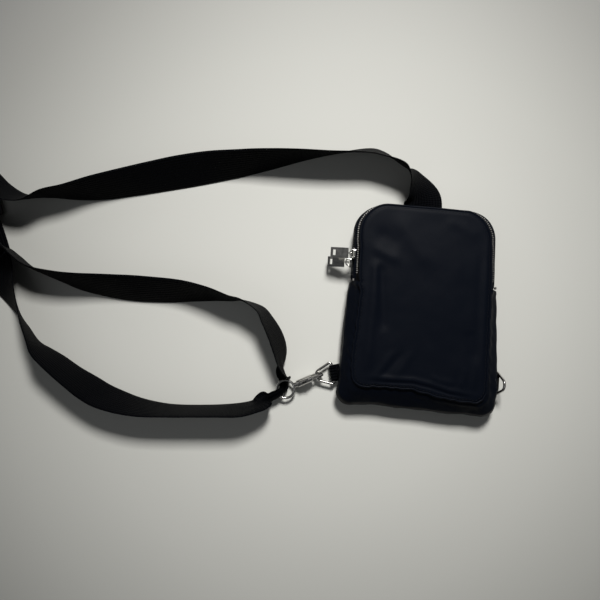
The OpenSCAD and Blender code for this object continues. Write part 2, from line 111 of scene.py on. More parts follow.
nylon = material("coated_nylon", (0.0018, 0.0027, 0.0052), 0.45, specular=0.042)
roughen(nylon, 0.38, 0.55, 45.0)
weave(nylon, "Object", 700.0, 700.0, depth=0.00002, grain_scale=140.0, grain_depth=0.00006)
lining = material("grey_lining", (0.06, 0.06, 0.065), 0.8)
foam = material("foam_sheet", (0.1, 0.1, 0.1), 0.9)
tape = material("zip_tape", (0.0015, 0.0015, 0.002), 0.75, specular=0.05)
weave(tape, "Object", 900.0, 900.0, depth=0.00005, grain_scale=900.0, grain_depth=0.00003)
webbing = material("ribbed_webbing", (0.0009, 0.0011, 0.0017), 0.55, specular=0.03)
weave(webbing, "UV", 110.0, 210.0, depth=0.0006, grain_scale=1500.0, grain_depth=0.00008)
thread = material("sewing_thread", (0.0035, 0.0038, 0.005), 0.6, specular=0.08)
nickel = material("nickel", (0.55, 0.54, 0.52), 0.2, metallic=1.0)
roughen(nickel, 0.12, 0.26, 300.0)
zip_metal = material("zip_metal", (0.34, 0.33, 0.315), 0.3, metallic=1.0)
roughen(zip_metal, 0.25, 0.4, 500.0)
black_metal = material("black_metal", (0.006, 0.006, 0.007), 0.4, metallic=0.3, specular=0.3)
roughen(black_metal, 0.32, 0.5, 200.0)

# ------------------------------------------------------------- mesh helpers


def piece(name, verts, faces, mat, smooth=True, uv=None):
    """A mesh piece on the pouch body; verts are in millimetres."""
    mesh = bpy.data.meshes.new(name)
    mesh.from_pydata([Vector(v) * MM for v in verts], [], faces)
    mesh.update()
    mesh.materials.append(mat)
    for face in mesh.polygons:
        face.use_smooth = smooth
    if uv:
        layer = mesh.uv_layers.new(name="along")
        for loop in mesh.loops:
            layer.data[loop.index].uv = uv[loop.vertex_index]
    obj = bpy.data.objects.new(name, mesh)
    bpy.context.collection.objects.link(obj)
    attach(obj, "pouch")
    return obj


def grid_faces(rows, columns, closed_columns=False, closed_rows=False):
    """Four-sided faces between the points of a grid, row after row."""
    faces = []
    for r in range(rows if closed_rows else rows - 1):
        for c in range(columns if closed_columns else columns - 1):
            a = r * columns + c
            b = r * columns + (c + 1) % columns
            d = (r + 1) % rows * columns
            faces.append((a, b, d + (c + 1) % columns, d + c))
    return faces


def end_caps(rows, columns):
    """The first and the last ring of a closed grid, each as one face."""
    first = (rows - 1) * columns
    return [tuple(range(columns - 1, -1, -1)), tuple(range(first, first + columns))]


def neighbours(path, i, closed):
    """The points before and after point i of a path, or its ends."""
    last = len(path) - 1
    before = path[i - 1] if closed or i else path[0]
    after = path[(i + 1) % len(path)] if closed or i < last else path[last]
    return before, after


def strip_section(steps):
    """Round a flat strip: place from -1 to 1 across it, and face 1 or -1."""
    places = [-1 + 2 * k / steps for k in range(steps + 1)]
    return [(place, 1) for place in places] + [(-place, -1) for place in places]


def step(value, low, high):
    """Eased from 0 at low to 1 at high."""
    t = min(max((value - low) / (high - low), 0.0), 1.0)
    return t * t * (3 - 2 * t)


def lookup(value, table, eased=False):
    """A value from a table of (key, value) rows, by straight or eased steps."""
    if value <= table[0][0]:
        return table[0][1]
    for (a, low), (b, high) in zip(table, table[1:]):
        if value <= b:
            share = step(value, a, b) if eased else (value - a) / (b - a)
            return low + (high - low) * share
    return table[-1][1]


def bell(value, width):
    """1 at zero, falling off within about width."""
    return math.exp(-((value / width) ** 2))


def grain(x, y, z, size):
    """Smooth noise from -1 to 1 whose lumps measure about size millimetres."""
    return noise.noise(Vector((x, y, z)) / size)


TUBE_SIDES = 8


def tube(name, path, radius, mat):
    """A round cord along a closed list of points."""
    verts = []
    for i, p in enumerate(path):
        before, after = neighbours(path, i, closed=True)
        along = (after - before).normalized()
        side = along.cross(Vector((0, 0, 1))).normalized()
        up = side.cross(along)
        for k in range(TUBE_SIDES):
            a = 2 * math.pi * k / TUBE_SIDES
            verts.append(p + side * radius * math.cos(a) + up * radius * math.sin(a))
    faces = grid_faces(len(path), TUBE_SIDES, closed_columns=True, closed_rows=True)
    return piece(name, verts, faces, mat)


def resample(path, pitch):
    """Points at an equal pitch along an open path, each with its direction."""
    out = []
    wanted = pitch / 2
    done = 0.0
    for a, b in zip(path, path[1:]):
        length = (b - a).length
        while wanted <= done + length:
            out.append((a.lerp(b, (wanted - done) / length), (b - a).normalized()))
            wanted += pitch
        done += length
    return out


STITCH_SIDES = 6
STITCH_FLATNESS, STITCH_LIFT = 0.8, 0.15
# Along one stitch: place as a share of its length, and share of its radius
STITCH_ROWS = ((-0.5, 0.25), (-0.3, 1.0), (0.3, 1.0), (0.5, 0.25))


def stitches(name, path, normal, pitch=3.2, length=2.1, radius=0.28):
    """A row of short raised stitches along a path; normal gives the way out."""
    verts = []
    faces = []
    one = grid_faces(len(STITCH_ROWS), STITCH_SIDES, closed_columns=True)
    one += end_caps(len(STITCH_ROWS), STITCH_SIDES)
    for p, along in resample(path, pitch):
        up = normal(p)
        side = along.cross(up).normalized()
        start = len(verts)
        for share, size in STITCH_ROWS:
            for k in range(STITCH_SIDES):
                a = 2 * math.pi * k / STITCH_SIDES
                ring = side * math.cos(a) + up * (math.sin(a) * STITCH_FLATNESS + STITCH_LIFT)
                verts.append(p + along * length * share + ring * radius * size)
        faces += [tuple(start + v for v in face) for face in one]
    return piece(name, verts, faces, thread)


def upward(p):
    """The way out of a level seam."""
    return Vector((0, 0, 1))


def towards_top(p):
    """The way out of a seam on the pouch's top wall."""
    return Vector((0, 1, 0))


def sideways(p):
    """The way out of the shell's wall, level and away from the middle."""
    return Vector((p.x, p.y, 0)).normalized()


# -------------------------------------------------------------- pouch shell
# The outline repeats the construction's: sizes in millimetres, Z up from the back
UPPER_HALF_W, LOWER_HALF_W, HALF_LEN, POUCH_T = 69.0, 77.0, 97.0, 34.0
TOP_R, BOTTOM_R, ZIP_END_Y = 25.0, 13.0, 24.0
CHAIN_HEIGHTS = {"rear": 18.0, "front": 28.0}
WALL_LOW, SEAM_Z = 0.2, 33.2
# How far each side draws in: share of the height, inset
SIDE_INSET = ((0, 4), (0.2, 1), (0.45, 0), (0.62, 0.5), (0.85, 3.5), (1, 7))
LOW_INSET = ((0, 6), (0.2, 2), (0.45, 0), (0.65, 2), (0.88, 9), (1, 14))
TOP_INSET = ((0, 4), (0.2, 1), (0.45, 0), (0.85, 0.5), (1, 2))
END_INSET = ((0, 6), (0.2, 2), (0.45, 0), (0.65, 3), (0.88, 10), (1, 16))
# Points along each stretch of the outline
SIDE_STEPS, TOP_ARC, TOP_STEPS = 24, 20, 44
LOW_STEPS, LOW_ARC, BOTTOM_STEPS = 50, 12, 70
UPPER_COUNT = 2 * SIDE_STEPS + 2 * TOP_ARC + TOP_STEPS
AROUND = UPPER_COUNT + 2 * LOW_STEPS + 2 * LOW_ARC + BOTTOM_STEPS


def line(a, b, count):
    """Points from a up to, but not at, b."""
    return [Vector(a).lerp(Vector(b), k / count) for k in range(count)]


def arc(x, y, radius, start, count):
    """Points of a quarter circle from start degrees, without its last."""
    turns = [math.radians(start + 90 * k / count) for k in range(count)]
    return [Vector((x + radius * math.cos(a), y + radius * math.sin(a))) for a in turns]


def outline(z):
    """The outline at one height, counter-clockwise from the right zip end."""
    share = z / POUCH_T
    ux = UPPER_HALF_W - lookup(share, SIDE_INSET)
    lx = LOWER_HALF_W - lookup(share, LOW_INSET)
    ty = HALF_LEN - lookup(share, TOP_INSET)
    by = HALF_LEN - lookup(share, END_INSET)
    return (
        line((ux, ZIP_END_Y), (ux, ty - TOP_R), SIDE_STEPS)
        + arc(ux - TOP_R, ty - TOP_R, TOP_R, 0, TOP_ARC)
        + line((ux - TOP_R, ty), (TOP_R - ux, ty), TOP_STEPS)
        + arc(TOP_R - ux, ty - TOP_R, TOP_R, 90, TOP_ARC)
        + line((-ux, ty - TOP_R), (-ux, ZIP_END_Y), SIDE_STEPS)
        + line((-ux, ZIP_END_Y), (-lx, BOTTOM_R - by), LOW_STEPS)
        + arc(BOTTOM_R - lx, BOTTOM_R - by, BOTTOM_R, 180, LOW_ARC)
        + line((BOTTOM_R - lx, -by), (lx - BOTTOM_R, -by), BOTTOM_STEPS)
        + arc(lx - BOTTOM_R, BOTTOM_R - by, BOTTOM_R, 270, LOW_ARC)
        + line((lx, BOTTOM_R - by), (ux, ZIP_END_Y), LOW_STEPS)
    )


# How far the photographed edges leave that outline: (place along the edge, shift)
FRONT_LEFT = (
    (-72, 0), (-46, -0.6), (-18, 1.2), (14, 2.6), (30, 0.5), (40, 0), (56, 0), (66, -1.2), (82, -1),
)
FRONT_RIGHT = ((-60, -0.6), (32, -0.7), (58, -2.2), (70, -3.6), (83, -5))
FRONT_TOP = ((-60, 1.2), (-42, 2.0), (-3, 1.2), (35, 0))
FRONT_BOTTOM = ((-61, 6.2), (-40, 8.0), (-9, 7.6), (8, 4.2), (22, 0.8), (45, -1.4), (62, -2.9))
MIDDLE_LEFT = ((-78, 0.8), (-49, -0.8), (-19, -2.0), (14, -1.9), (23, 0))
MIDDLE_RIGHT = (
    (-83, 1.0), (-69, 3.2), (-24, 3.2), (4, 2.8), (21, 1.8), (25, 0), (60, -1.0), (77, -1.5),
)
MIDDLE_BOTTOM = ((-72, 0.5), (-43, 2.6), (-7, 0.2), (28, -1.4), (72, -3.0))


def edge_shift(x, y, z):
    """Shift of an outline point by the two tables of photographed edges."""
    front = step(z, 19, 33)
    middle = step(z, 2, 10) * (1 - step(z, 20, 30))
    side = step(abs(x), 25, 52)
    left = x < 0
    dx = front * lookup(y, FRONT_LEFT if left else FRONT_RIGHT, eased=True)
    dx += middle * lookup(y, MIDDLE_LEFT if left else MIDDLE_RIGHT, eased=True)
    dy = step(y, 60, 85) * front * lookup(x, FRONT_TOP, eased=True)
    low = front * lookup(x, FRONT_BOTTOM, eased=True)
    low += middle * lookup(x, MIDDLE_BOTTOM, eased=True)
    dy += step(-y, 45, 75) * low
    return Vector((dx * side, dy))


TAPE_HALF = 3.1
SIDE_FROM_X, FAR_AWAY = 50.0, 99.0
GROOVE_DEPTH, GROOVE_EDGE = 0.9, 0.9
LIP_HEIGHT, LIP_OUT, LIP_WIDTH = 0.55, 0.5, 0.6
END_FOLD_HEIGHT, END_FOLD_DOWN, END_FOLD_WIDTH = 1.1, 3.0, 2.6
END_SEAM_DEPTH, END_SEAM_WIDTH = 0.7, 0.8
PUCKER_RATE, PUCKER_DRIFT = 0.55, 3.0
PUCKER_TOP, PUCKER_BOTTOM = 0.35, 0.2
SAG = 0.7
# Seams that run round the wall: height, depth
ROUND_SEAMS = ((31.6, 0.5), (3.0, 0.4))
ROUND_SEAM_WIDTH = 0.7


def wall_relief(i, x, y, z):
    """Outward shift of the wall: zip grooves and lips, gusset seams and wrinkles."""
    above = 1.0 if i <= UPPER_COUNT else 0.0
    at_side = abs(x) > SIDE_FROM_X
    from_end = y - ZIP_END_Y if at_side else FAR_AWAY
    zips = above * step(from_end, 0.0, 2.5)
    relief = 0.0
    for chain_z in CHAIN_HEIGHTS.values():
        away = abs(z - chain_z)
        relief -= GROOVE_DEPTH * zips * (1 - step(away, TAPE_HALF - GROOVE_EDGE, TAPE_HALF))
        relief += LIP_HEIGHT * zips * bell(away - TAPE_HALF - LIP_OUT, LIP_WIDTH)
    if at_side:
        relief += END_FOLD_HEIGHT * (1 - above) * bell(from_end + END_FOLD_DOWN, END_FOLD_WIDTH)
        relief -= END_SEAM_DEPTH * bell(from_end, END_SEAM_WIDTH)
    loose = step(z, 0, 6) * (1 - step(z, 28, 34))
    lumps = grain(x, y, z * 1.6, 17.0) * 0.9 + grain(x, y, z, 6.0) * 0.35
    relief += loose * lumps * (0.2 if above else 1.0)
    if not above:
        puckers = math.sin((x + y) * PUCKER_RATE + grain(x, y, 0, 11.0) * PUCKER_DRIFT)
        relief += PUCKER_TOP * puckers * step(z, 22, 33)
        relief += PUCKER_BOTTOM * puckers * (1 - step(z, 2, 10))
        sag = math.sin(math.pi * min(max(z / POUCH_T, 0.0), 1.0))
        relief += SAG * sag * step(-y, 60, 90)
    for seam_z, depth in ROUND_SEAMS:
        relief -= depth * bell(z - seam_z, ROUND_SEAM_WIDTH)
    return relief


def shell_ring(z):
    """The soft outline at one height as 3-D points, and the way out at each."""
    flat = outline(z)
    flat = [p + edge_shift(p.x, p.y, z) for p in flat]
    lift = [z + step(z, 24, 33) * 0.7 * grain(p.x, p.y, 3.0, 26.0) for p in flat]
    points = []
    outs = []
    for i, p in enumerate(flat):
        along = (flat[(i + 1) % AROUND] - flat[i - 1]).normalized()
        out = Vector((along.y, -along.x))
        q = p + out * wall_relief(i, p.x, p.y, z)
        points.append(Vector((q.x, q.y, lift[i])))
        outs.append(Vector((out.x, out.y, 0)))
    return points, outs


WALL_STEP = 0.5
WALL_LEVELS = int((SEAM_Z - WALL_LOW) / WALL_STEP) + 1
wall_rows = [shell_ring(WALL_LOW + WALL_STEP * k)[0] for k in range(WALL_LEVELS)]
wall_rows.append(shell_ring(SEAM_Z)[0])
wall_points = [p for row in wall_rows for p in row]
wall_faces = grid_faces(len(wall_rows), AROUND, closed_columns=True)
wall = piece("pouch_wall", wall_points, wall_faces, nylon)
wall.data.materials.append(tape)
TAPE_SHOWS = TAPE_HALF - 0.6
for face in wall.data.polygons:
    column = face.index % AROUND
    height = WALL_LOW + WALL_STEP * (face.index // AROUND)
    near = min(abs(height - z) for z in CHAIN_HEIGHTS.values())
    if column < UPPER_COUNT and near < TAPE_SHOWS:
        face.material_index = 1
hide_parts("lower_gusset", "rear_band", "middle_band", "front_band")
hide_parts("rear_zip_tapes", "front_zip_tapes")

# Soft folds of the front: points, half width and height (a valley is negative)
FRONT_FOLDS = (
    (((-43.5, 42), (-42.8, 34), (-40, 12), (-37.5, -14), (-37, -24)), 3.8, -1.2),
    (((-45, 46), (-47.7, 36), (-48.4, -2), (-50.5, -40), (-51.2, -66)), 4.4, 1.5),
    (((-52, 57), (-40, 51), (-24, 44)), 5.2, 0.9),
    (((-50, 70), (-38, 66), (-26, 58)), 6.0, -0.5),
    (((-34, 88), (-20, 72), (-8, 55), (8, 36)), 8.0, 0.9),
    (((-44, -67), (-36, -56), (-25, -38)), 3.6, 0.6),
    (((-36, -64), (-29, -56), (-18, -40)), 3.2, -0.45),
    (((-24, -65), (-18, -56), (-8, -38)), 4.2, 0.5),
    (((-54, -65.5), (-30, -66), (-6, -66), (10, -69), (28, -74), (58, -77.5)), 2.0, 1.1),
    (((-50, -70), (-30, -70), (-6, -69.6), (12, -73), (28, -77.5), (50, -80)), 1.2, -0.8),
    (((8, -62), (20, -66), (34, -67)), 2.8, 0.6),
    (((38, -72), (41, -62), (42, -50)), 2.6, 0.6),
    (((50, -74), (51, -60), (52, -44)), 2.4, 0.6),
    (((55, 68), (56.5, 0), (57, -70)), 2.6, 0.6),
    (((50, 64), (51, 0), (52, -66)), 2.6, -0.35),
    (((14, 86), (32, 80), (48, 70)), 4.6, 0.5),
    (((42, -16), (46, -30), (50, -46)), 5.0, -0.8),
)
FOLD_REACH = 3


def fold_height(x, y):
    """Sum of the folds at a point; each fades out near its two ends."""
    total = 0.0
    for points, width, height in FRONT_FOLDS:
        best = None
        for k, ((ax, ay), (bx, by)) in enumerate(zip(points, points[1:])):
            run = Vector((bx - ax, by - ay))
            t = ((x - ax) * run.x + (y - ay) * run.y) / run.length_squared
            t = min(max(t, 0.0), 1.0)
            away = math.hypot(x - ax - run.x * t, y - ay - run.y * t)
            if best is None or away < best[0]:
                best = (away, (k + t) / (len(points) - 1))
        away, share = best
        if away < FOLD_REACH * width:
            total += height * bell(away, width) * step(min(share, 1 - share), -0.05, 0.25)
    return total


FRONT_RISE, CROWN = 0.9, 1.3
CROWN_HALF_W, CROWN_HALF_LEN, CROWN_Y = 66, 92, 5


def front_height(x, y):
    """Height of the front over the table, away from its rolled edge."""
    across = max(0.0, 1 - (x / CROWN_HALF_W) ** 2)
    along = max(0.0, 1 - ((y - CROWN_Y) / CROWN_HALF_LEN) ** 2)
    drift = 0.55 * grain(x, y, 7.0, 38.0) + 0.18 * grain(x, y, 2.0, 13.0)
    return POUCH_T + FRONT_RISE + CROWN * across * along + drift + fold_height(x, y)


def middle_of(p):
    """The point of the panel's midline that an edge point is drawn towards."""
    return Vector((0.0, p.y * 0.35, p.z))


# Rings of a panel, as shares of the way from its edge to its midline
ROW_SHARES = [0, 0.005, 0.011, 0.018, 0.027, 0.038, 0.052, 0.07, 0.09, 0.115, 0.145]
ROW_SHARES += [0.18 + 0.041 * k for k in range(21)]
seam_ring, seam_outs = shell_ring(SEAM_Z)
# How far in from the seam the front has risen to its height
PUFF = 5.0


def front_point(i, share):
    """A point of the front, on the way in from edge point i."""
    edge = seam_ring[i]
    p = edge.lerp(middle_of(edge), share)
    inward = min((p - edge).length / PUFF, 1.0)
    rise = math.sqrt(inward * (2 - inward))
    p.z = edge.z + (front_height(p.x, p.y) - edge.z) * rise
    return p


front_points = [front_point(i, share) for share in ROW_SHARES for i in range(AROUND)]
panel_faces = grid_faces(len(ROW_SHARES), AROUND, closed_columns=True)
front = piece("front_skin", front_points, panel_faces, nylon)
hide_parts("front_panel")

back_ring = shell_ring(WALL_LOW)[0]
BACK_Z, BACK_EDGE, BACK_LUMPS = 0.12, 0.35, 0.25


def back_point(i, share):
    """A point of the back, which lies on the table."""
    p = back_ring[i].lerp(middle_of(back_ring[i]), share)
    p.z = BACK_Z + BACK_EDGE * (1 - step(share, 0, 0.06))
    p.z += BACK_LUMPS * abs(grain(p.x, p.y, 0, 24.0))
    return p


back_points = [back_point(i, share) for share in ROW_SHARES for i in range(AROUND)]
back_faces = [tuple(reversed(face)) for face in panel_faces]
back = piece("back_skin", back_points, back_faces, nylon)
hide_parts("back_panel")


INNER_INSET = 2.2
INNER_LUMPS = 0.3
# Rings of an inner sheet: its lower or upper side, share of the way in
INNER_RINGS = ((0, 0.98), (0, 0.5), (0, 0.0), (1, 0.0), (1, 0.5), (1, 0.98))


def inner_sheet(name, z, thickness, mat):
    """A soft sheet that lies inside the shell."""
    rows = []
    for level in (z, z + thickness):
        ring, outs = shell_ring(level)
        rows.append([p - o * INNER_INSET for p, o in zip(ring, outs)])
    verts = []
    for side, share in INNER_RINGS:
        for p in rows[side]:
            q = p.lerp(middle_of(p), share)
            q.z = z + thickness * side + INNER_LUMPS * share * grain(q.x, q.y, z, 30.0)
            verts.append(q)
    faces = grid_faces(len(INNER_RINGS), AROUND, closed_columns=True)
    faces += end_caps(len(INNER_RINGS), AROUND)
    return piece(name, verts, faces, mat)


FOAM_Z, FOAM_T = 1.6, 1.7
foam_sheet = inner_sheet("foam_sheet", FOAM_Z, FOAM_T, foam)
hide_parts("back_foam")
DIVIDER_Z, DIVIDER_T = 22.5, 0.9
divider = inner_sheet("divider_sheet", DIVIDER_Z, DIVIDER_T, lining)
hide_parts("divider_panel")

# Rolled seams along the front and the back edge
FRONT_PIPING_R, FRONT_PIPING_OUT, FRONT_PIPING_UP = 1.0, 0.25, 0.35
BACK_PIPING_R, BACK_PIPING_OUT, BACK_PIPING_Z = 0.95, 0.1, 1.25
piping_lift = Vector((0, 0, FRONT_PIPING_UP))
front_cord = [p + o * FRONT_PIPING_OUT + piping_lift for p, o in zip(seam_ring, seam_outs)]
tube("front_piping", front_cord, FRONT_PIPING_R, nylon)
low_ring, low_outs = shell_ring(1.4)
back_cord = []
for p, out in zip(low_ring, low_outs):
    back_cord.append(Vector((p.x, p.y, BACK_PIPING_Z)) + out * BACK_PIPING_OUT)
tube("back_piping", back_cord, BACK_PIPING_R, nylon)

# ------------------------------------------------------------------- zips
TOOTH_PITCH, TOOTH_STAGGER = 2.0, 0.45
TOOTH_LONG, TOOTH_HIGH, TOOTH_OUT = 0.95, 2.1, 1.1
# Sections of a tooth on its way out: reach, length share, height share
TOOTH_LEVELS = ((-0.3, 1.0, 1.0), (0.65, 1.0, 1.0), (1.0, 0.6, 0.72))
TOOTH_CORNERS = ((-0.5, -0.5), (0.5, -0.5), (0.5, 0.5), (-0.5, 0.5))
# Outline points that the chain and its stitching leave out at each zip end
CHAIN_START, ZIP_STITCH_START = 3, 1
ZIP_STITCH_AWAY = TAPE_HALF + 1.6


def upper_path(z, start):
    """The outline over the zips at one height, from one zip end to the other."""
    ring = shell_ring(z)[0]
    return ring[start : UPPER_COUNT - start + 1]


def teeth(name, z):
    """Interlocked teeth: one box with a narrowed face for each tooth."""
    verts = []
    faces = []
    sides = grid_faces(len(TOOTH_LEVELS), len(TOOTH_CORNERS), closed_columns=True)
    face_out = end_caps(len(TOOTH_LEVELS), len(TOOTH_CORNERS))[1]
    for k, (p, along) in enumerate(resample(upper_path(z, CHAIN_START), TOOTH_PITCH)):
        out = Vector((along.y, -along.x, 0)).normalized()
        shift = TOOTH_STAGGER if k % 2 else -TOOTH_STAGGER
        start = len(verts)
        for reach, long_share, high_share in TOOTH_LEVELS:
            for a, b in TOOTH_CORNERS:
                q = p + out * TOOTH_OUT * reach + along * TOOTH_LONG * long_share * a
                q.z += shift + TOOTH_HIGH * high_share * b
                verts.append(q)
        faces += [tuple(start + v for v in face) for face in (*sides, face_out)]
    return piece(name, verts, faces, zip_metal, smooth=False)


def zip_sideways(p):
    """The way out of the wall beside a zip, level."""
    return Vector((p.x, p.y * 0.6, 0)).normalized()


for side, height in CHAIN_HEIGHTS.items():
    chain = teeth(side + "_teeth", height)
    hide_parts(side + "_zip_teeth")
    for edge, away in (("low", -ZIP_STITCH_AWAY), ("high", ZIP_STITCH_AWAY)):
        if side == "front" and edge == "high":
            continue  # the front panel's own seam is there
        path = upper_path(height + away, ZIP_STITCH_START)
        row = stitches(side + "_zip_stitch_" + edge, path, zip_sideways)

# Topstitching along the front panel and the gusset's lower edge
STITCH_INSET = 0.034
GUSSET_STITCH_Z = 4.6
seam_path = [front_point(i, STITCH_INSET) for i in range(AROUND)]
front_row = stitches("front_topstitch", seam_path + seam_path[:1], upward)
low_path = shell_ring(GUSSET_STITCH_Z)[0][UPPER_COUNT:]
low_row = stitches("gusset_topstitch", low_path, sideways)

# ---------------------------------------------------------------- webbing
STRAP_W, STRAP_T = 38.0, 1.6
STEPS_BETWEEN = 6
ACROSS = 14
# Rows: x, y, roll in degrees, lowest height, width share and thickness share.
# What a row leaves out at its end is taken from here: it lies on the table, flat.
ROW_REST = (0.2, 1, 1)
UPPER_ROUTE = (
    (-3, 99.6, 0, 11.8), (-3, 108, 12, 8), (-6, 117, 34, 3), (-12, 126, 52), (-19, 135, 74),
    (-27, 141, 80), (-45, 149, 70), (-61, 151, 71), (-98, 146, 83), (-131, 141, 98),
    (-158, 136, 111), (-185, 131, 122), (-213, 126, 131), (-240, 120, 134), (-267, 113, 130),
    (-293, 106, 125), (-320, 99, 118), (-346, 93, 104), (-367, 90, 93), (-386, 85, 76),
    (-402, 86, 70, 0.4), (-418, 94, 66, 1.5), (-432, 106, 64, 3), (-447, 115, 60, 4.5),
    (-457, 111, 50, 6),
)
GLIDE_ROUTE = (
    (-455, 102.5, 26, 6.3), (-451.6, 97.5, 8, 6.3), (-449.6, 94.4, 0, 6.3),
    (-447.9, 89.6, 0, 6.3), (-446.3, 85, 0, 5.2), (-444.6, 80.5, 0, 0.5), (-443, 76, 0),
    (-441.4, 71.5, 0, 0.5), (-439.7, 67, 0, 5.2), (-438.1, 62.4, 0, 6.3), (-436.4, 57.6, 0, 6),
    (-434.6, 52.8, 0, 4),
)
LOWER_ROUTE = (
    (-429.5, 38.5, 3, 0.6), (-421, 22, 10), (-411, 8, 26), (-401, -7, 46), (-391, -23, 62),
    (-382, -38, 76), (-373, -53, 84), (-364, -63, 98), (-350, -73, 106), (-333, -85, 111),
    (-317, -95, 117), (-300, -103, 116), (-272, -110, 108), (-243, -112, 100), (-216, -111, 98),
    (-188, -109, 99), (-168, -107, 102, 0.2, 0.97), (-152, -102, 106, 0.2, 0.84),
)
FOLD_ROUTE = (
    (-147.6, -98.8, 128, 2, 0.6, 1.6), (-144.2, -96.3, 160, 6, 0.42, 2),
    (-141, -94.6, 180, 9.3, 0.25, 2), (-137.5, -92.6, 180, 9.9, 0.24, 2),
    (-133.8, -90.5, 180, 10, 0.22, 2), (-131, -88.6, 180, 8.8, 0.2, 2),
    (-128.8, -86.3, 180, 5.8, 0.22, 2), (-128.1, -83.2, 180, 2.9, 0.24, 2),
    (-128.4, -79.6, 180, 1.8, 0.24, 2), (-128.9, -75.6, 178, 0.7, 0.3, 1.8),
    (-129.4, -71.4, 140, 0.3, 0.46, 1.5), (-129.6, -67.4, 104, 0.3, 0.6, 1.1),
    (-130.8, -61.4, 78, 0.2, 0.76),
)
RETURN_ROUTE = (
    (-133.2, -49, 70, 0.2, 0.93), (-139, -34, 70, 0.2, 0.99), (-148, -19, 75), (-156, -8.5, 82),
    (-173, -1, 92), (-186, 0, 99), (-204, 2.5, 110), (-223, 3.7, 120), (-242, 3.8, 127),
    (-261, 3.6, 130), (-280, 3.6, 131), (-298, 4.1, 128), (-317, 5.2, 122), (-335, 7, 115),
    (-353, 10.5, 106), (-373, 15.6, 98), (-384, 20.5, 97, 0.4), (-393.5, 28, 97, 3),
    (-402.5, 35.5, 101, 7.2), (-412, 40.5, 118, 9), (-421, 44, 146, 9), (-429.5, 49, 168, 8.2),
    (-435, 56, 180, 8.3), (-438.5, 63.5, 180, 8.3), (-440.6, 69.4, 180, 8),
    (-442.2, 73.8, 180, 7.7),
)
ROUTE = [
    row + ROW_REST[len(row) - 3 :]
    for row in UPPER_ROUTE + GLIDE_ROUTE + LOWER_ROUTE + FOLD_ROUTE + RETURN_ROUTE
]


def bend(a, b, c, d, t):
    """One coordinate of a Catmull-Rom curve between b and c."""
    square = (2 * a - 5 * b + 4 * c - d) * t * t
    return 0.5 * (2 * b + (c - a) * t + square + (3 * b - a - 3 * c + d) * t * t * t)


def smooth_rows(rows):
    """The rows with STEPS_BETWEEN steps from each to the next."""
    out = []
    last = len(rows) - 1
    for i in range(last):
        four = [rows[max(i - 1, 0)], rows[i], rows[i + 1], rows[min(i + 2, last)]]
        for k in range(STEPS_BETWEEN):
            out.append([bend(*values, k / STEPS_BETWEEN) for values in zip(*four)])
    out.append(list(rows[last]))
    return out


def row_centre(row):
    """The middle of the webbing at a row, from the height of its lowest edge."""
    x, y, roll, low, wide, thick = row
    turn = math.radians(roll)
    half_w = STRAP_W * wide / 2
    half_t = STRAP_T * thick / 2
    return Vector((x, y, low + half_w * abs(math.sin(turn)) + half_t * abs(math.cos(turn))))


PLEATS, PLEAT_DEPTH = 2.5, 1.5
CUP_DEPTH, WAVE_DEPTH, SETTLE = 0.5, 0.25, 0.25
SELVAGE_POWER, SELVAGE_THIN = 8, 0.75


def webbing_piece(name, rows):
    """A band of webbing with rounded selvages that pleats where it is squeezed narrow."""
    rows = smooth_rows(rows)
    centres = [row_centre(row) for row in rows]
    section = strip_section(ACROSS)
    verts = []
    uv = []
    travelled = 0.0
    for i, row in enumerate(rows):
        before, after = neighbours(centres, i, closed=False)
        along = (after - before).normalized()
        left = Vector((0, 0, 1)).cross(along).normalized()
        up = along.cross(left)
        turn = math.radians(row[2])
        wide = left * math.cos(turn) + up * math.sin(turn)
        thick = up * math.cos(turn) - left * math.sin(turn)
        half_w = STRAP_W * row[4] / 2
        squeezed = min(max(1 - row[4], 0.0), 1.0)
        if i:
            travelled += (centres[i] - centres[i - 1]).length
        for place, face in section:
            pleat = PLEAT_DEPTH * squeezed * math.sin(place * PLEATS * math.pi)
            body = (1 - abs(place) ** SELVAGE_POWER * SELVAGE_THIN) * STRAP_T / 2
            cup = CUP_DEPTH * place * place * (1 - squeezed)
            wave = WAVE_DEPTH * grain(travelled, place * STRAP_W / 2, 5.0, 22.0)
            level = face * body + pleat + cup + wave - SETTLE
            verts.append(centres[i] + wide * half_w * place + thick * level)
            uv.append((place * STRAP_W / 2 * MM, travelled * MM))
    faces = grid_faces(len(rows), len(section), closed_columns=True)
    faces += end_caps(len(rows), len(section))
    return piece(name, verts, faces, webbing, uv=uv)


strap = webbing_piece("strap_webbing", ROUTE)
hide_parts("strap_upper_run", "strap_lower_run", "strap_eye_fold", "strap_return_run")


def placed(points, origin, turn_deg, mirrored=False):
    """Moves points from a piece's own frame to the pouch's."""
    turn = math.radians(turn_deg)
    out = []
    for x, y, z in points:
        x, y = x * math.cos(turn) - y * math.sin(turn), x * math.sin(turn) + y * math.cos(turn)
        out.append(Vector((origin[0] + (-x if mirrored else x), origin[1] + y, origin[2] + z)))
    return out


BAND_STEPS = 8
BAND_EDGE_POWER, BAND_EDGE_THIN = 6, 0.6


